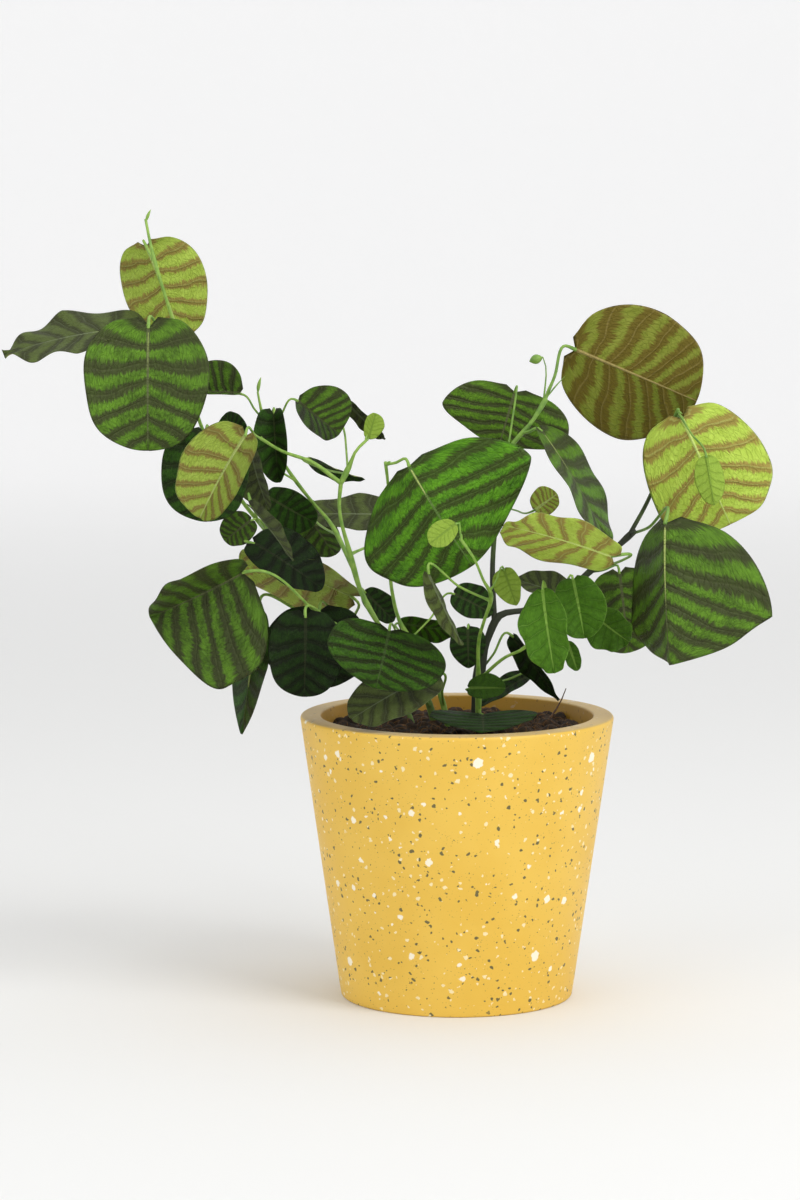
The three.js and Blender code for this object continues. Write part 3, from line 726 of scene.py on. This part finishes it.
# %% The stem finish
def stem_finish(name, green, shade, wood):
    """Streaky green that turns to wood where the mark says so."""
    tree, plug = new_finish(name)
    here = add(tree, "ShaderNodeTexCoord", output=3)
    bark = read(tree, "bark")
    streak = noise(tree, here, 240.0, 3.0)
    colour = mix(tree, streak.step(0.35, 0.7), green, shade)
    old = (bark + 0.5 * (noise(tree, here, 90.0) - 0.5)).step(0.25, 0.75)
    colour = mix(tree, old, colour, wood)
    bump = add(tree, "ShaderNodeBump", {}, {"Strength": 0.35, "Distance": 0.0003, "Height": streak})
    return plug(Base_Color=colour, Roughness=0.5 + 0.3 * old, Normal=bump)


STEM = stem_finish("stem_green", rgb("#8db04a"), rgb("#6d9638"), rgb("#3c4a28"))
OLD_STEM = stem_finish("stem_woody", rgb("#7da23f"), rgb("#5d8434"), rgb("#2c3122"))
TWIG = stem_finish("stem_dry", rgb("#6b4a26"), rgb("#52371c"), rgb("#3b2713"))
print("stem finishes ready")

# %% [markdown]
# Stems fork, and each fork starts on the path of the stem it left. So a route holds its own
# branches, and one function walks from the root outwards. A route is in millimetres, root
# first, and stalks and branches leave it at a share of its length.

# %% The stems
# bark is how woody the route is at its start and at its end
STEM_TAPER = 0.5
STEMS = {
    "cane_left": {
        "radius": 1.5,
        "bark": (0.6, 0.1),
        "points": [
            (-8, 2, 108), (-14, 2, 142), (-30, 0, 168), (-44, -2, 190), (-51, -3, 213),
            (-56, -4, 236), (-55, -5, 248),
        ],
        "stalks": {
            "big_low": 0.42, "long_behind": 0.76, "mid_left": 0.42, "dark_low": 0.36,
            "front_striped": 0.2,
        },
        "branches": [
            {
                "from": 0.99,
                "radius": 1.1,
                "bark": (0.1, 0),
                "points": [
                    (-69, -10, 257), (-81, -18, 262), (-92, -36, 270),
                ],
                "stalks": {
                    "striped_fold": 0.97,
                },
            },
            {
                "from": 0.99,
                "radius": 1,
                "bark": (0.1, 0),
                "points": [
                    (-51, -6, 255), (-48, -8, 262), (-43, -6, 267),
                ],
                "stalks": {
                    "lime_bud": 0.97, "upper_narrow": 0.2, "upper_dark": 0.3,
                },
            },
            {
                "from": 0.7,
                "radius": 1,
                "bark": (0.3, 0.05),
                "points": [
                    (-62, 12, 228), (-68, 18, 234), (-83, 14, 255), (-90, 12, 270), (-93, 11, 279),
                    (-95, 11, 289),
                ],
                "stalks": {
                    "small_left": 0.86, "hanging_left": 0.84, "upper_ovate": 0.82,
                    "grey_hanging": 0.55, "shade_back": 0.2,
                },
                "buds": [(0.99, (0, 0, 1), 0.008, 0.0009)],
            },
        ],
    },
    "cane_far_left": {
        "radius": 1.3,
        "bark": (0.6, 0),
        "points": [
            (-14, 8, 108), (-26, 18, 140), (-48, 32, 172), (-72, 36, 202), (-95, 26, 225),
            (-106, 14, 241), (-119, 3, 267), (-122, 0, 275), (-127, 2, 295), (-133, 0, 318),
            (-145, -2, 361), (-147, 0, 371),
        ],
        "stalks": {
            "crown_lime": 0.93, "far_left": 0.78, "round_left": 0.76, "behind_fold": 0.6,
            "above_fold": 0.58, "grey_narrow": 0.46, "inner_green": 0.44, "inner_low": 0.42,
            "shade_large": 0.4, "lime_low": 0.26, "folded_low": 0.28, "dark_low_back": 0.24,
        },
        "buds": [(0.995, (0.2, 0, 1), 0.006, 0.0008)],
    },
    "cane_centre": {
        "radius": 1.2,
        "bark": (0.3, 0),
        "points": [
            (-2, -2, 108), (-8, -2, 145), (-22, -4, 171), (-27, -6, 180), (-31, -12, 196),
            (-32, -20, 225), (-33, -28, 250), (-34, -34, 259),
        ],
        "stalks": {
            "centre_large": 0.99, "mid_striped": 0.4, "mid_dark": 0.42, "over_rim": 0.2,
        },
    },
    "cane_right": {
        "radius": 1.9,
        "bark": (1, 0.7),
        "points": [
            (8, 6, 108), (10, 6, 150), (15, 4, 172), (20, 4, 182), (34, 6, 185), (49, 8, 191),
            (63, 12, 202), (74, 18, 211), (86, 20, 222),
        ],
        "stalks": {
            "big_right": 0.98, "behind_right": 0.8, "lime_front": 0.86, "grey_right": 0.64,
            "fresh_behind": 0.66, "black_narrow": 0.3, "dark_curved": 0.26, "mid_heart": 0.34,
        },
        "branches": [
            {
                "from": 0.46,
                "radius": 1.4,
                "bark": (0.9, 0),
                "points": [
                    (17, 8, 205), (20, 14, 235), (26, 18, 262), (36, 20, 274), (43, 22, 285),
                ],
                "stalks": {
                    "brown_right": 0.98, "centre_back": 0.7, "centre_long": 0.82, "lime_edge": 0.5,
                },
                "buds": [(0.97, (0.25, 0, 1), 0.017, 0.0004), (0.99, (0.6, 0, 1), 0.014, 0.0004)],
                "branches": [
                    {
                        "from": 0.97,
                        "radius": 0.5,
                        "bark": (0, 0),
                        "points": [
                            (42.4, 22, 292), (42.6, 22, 300), (41, 22, 305),
                        ],
                        "buds": [(0.98, (-1, 0, -0.25), 0.0085, 0.0024)],
                    },
                ],
            },
            {
                "from": 0.97,
                "radius": 1.1,
                "bark": (0.7, 0.2),
                "points": [
                    (92, 22, 236), (99, 22, 254), (102, 16, 270), (105, 6, 281),
                ],
                "stalks": {
                    "lime_right": 0.9, "lime_small": 0.98,
                },
            },
        ],
    },
    "shoot_front": {
        "radius": 1.1,
        "bark": (0.3, 0),
        "points": [
            (10, -8, 108), (10, -12, 150), (10, -22, 174), (12, -34, 184), (15, -50, 198),
            (11, -64, 207), (6, -76, 219), (0, -82, 228),
        ],
        "stalks": {
            "shoot_lime": 0.99, "mid_grey": 0.66, "lime_tip": 0.72, "low_small": 0.26,
            "in_pot": 0.2,
        },
        "branches": [
            {
                "from": 0.3,
                "radius": 0.9,
                "bark": (0.3, 0),
                "points": [
                    (22, -26, 166), (31, -36, 172), (40, -44, 186), (46, -48, 200),
                ],
                "stalks": {
                    "fresh_hanging": 0.9, "fresh_cupped": 0.98, "fresh_small": 0.55,
                },
            },
        ],
    },
}


def grow(sheets, stem, start=None):
    """Adds a route's limb, its stalks, its buds, and then its branches, each from its own start."""
    points = [start] if start is not None else []
    points = points + [np.array(point) / 1000 for point in stem["points"]]
    knots = sorted({*stem.get("stalks", {}).values(), *(b["from"] for b in stem.get("branches", []))})
    path, share, sheet = limb(points, stem["radius"] / 1000, STEM_TAPER, stem["bark"], knots)
    sheets.append(sheet)

    def at(where):
        return np.array([np.interp(where, share, path[:, axis]) for axis in range(3)])

    for name, where in stem.get("stalks", {}).items():
        old = stem["bark"][0] + (stem["bark"][1] - stem["bark"][0]) * where
        sheets.append(stalk(at(where), name, old))
        toward = GROWN[name]["base"] - at(where) + (0, 0, 0.01)
        sheets.append(scale_leaf(at(where), toward, 0.0032, 0.0006))
    for where, toward, long, radius in stem.get("buds", []):
        sheets.append(scale_leaf(at(where), toward, long, radius))
    for branch in stem.get("branches", []):
        grow(sheets, branch, at(branch["from"]))
    return sheets


for name, stem in STEMS.items():
    woody = name == "cane_right"
    piece = build("stem_" + name, grow([], stem), [OLD_STEM if woody else STEM],
                  "cane_woody" if woody else "cane_green", name)
    print(name, len(piece.data.polygons), "faces")

TWIG_ROUTE = np.array([(45, 16, 131), (48, 18, 135), (51, 20, 140), (53, 21, 145)]) / 1000
_, _, sheet = limb(TWIG_ROUTE, 0.00055, 0.6, (0.2, 0.6))
twig = build("dead_twig", [sheet], [TWIG], "cane_woody", "dry_twig")
print("twig", len(twig.data.polygons), "faces")

# %% [markdown]
# The plant stands in a pale bowl: a flat floor that curves up into a wall all round, so that no
# edge shows behind it from any side. The wall glows a little, as a lit backdrop does. Large
# soft lights leave only faint shadows, and the brighter one stands to the right, which leaves
# the pot's left side a little deeper.

# %% The floor, the light and the camera
FLAT, CURVE, TOP = 3.0, 1.5, 2.0
bowl = np.concatenate([
    np.stack([np.linspace(0, FLAT, 12), np.zeros(12)], 1),
    arc((FLAT, CURVE), CURVE, -90, 0, 20)[1:],
    [(FLAT + CURVE, TOP)],
])
tree, plug = new_finish("pale_paper")
here = add(tree, "ShaderNodeTexCoord", output=3)
away = add(tree, "ShaderNodeVectorMath", {"operation": "LENGTH"}, {0: here}, output=1)
glow = mix(tree, away.step(0.7, 3.4), rgb("#000000"), rgb("#88888a"))
paper = plug(Base_Color=rgb("#e9e9e8"), Roughness=0.85, Emission_Color=glow, Emission_Strength=1.0)
join("pale_floor", [(turned(bowl, 96), {}, 0)], [paper])


def lamp(name, size, power, place, aim):
    """A square soft light of a size in metres, turned to face a point."""
    data = bpy.data.lights.new(name, "AREA")
    data.size = size
    data.energy = power
    light = bpy.data.objects.new(name, data)
    light.location = place
    line = np.array(aim) - np.array(place)
    flat = np.hypot(line[0], line[1])
    light.rotation_euler = (np.arctan2(flat, -line[2]), 0, np.arctan2(-line[0], line[1]))
    bpy.context.scene.collection.objects.link(light)
    return light


lamp("key_right", 1.1, 25, (1.3, -1.2, 1.7), (0, 0, 0.2))
lamp("fill_left", 1.6, 9, (-1.6, -1.5, 1.2), (0, 0, 0.2))
lamp("top", 1.6, 7, (0.1, 0.3, 2.0), (0, 0, 0.1))
world = bpy.data.worlds.new("studio")
world.use_nodes = True
world.node_tree.nodes["Background"].inputs["Color"].default_value = (1, 1, 1, 1)
world.node_tree.nodes["Background"].inputs["Strength"].default_value = 0.64
bpy.context.scene.world = world
bpy.context.scene.view_settings.view_transform = "Standard"

camera_data = bpy.data.cameras.new("camera")
camera_data.lens = 116.1
camera_data.sensor_width = 36
camera_data.clip_end = 20
camera = bpy.data.objects.new("camera", camera_data)
camera.location = (-0.0272, -1.83, 0.402)
camera.rotation_euler = (np.radians(90 - 6.6), 0, 0)
bpy.context.scene.collection.objects.link(camera)
bpy.context.scene.camera = camera
print("camera", [round(v, 3) for v in camera.location], "lens", camera_data.lens)
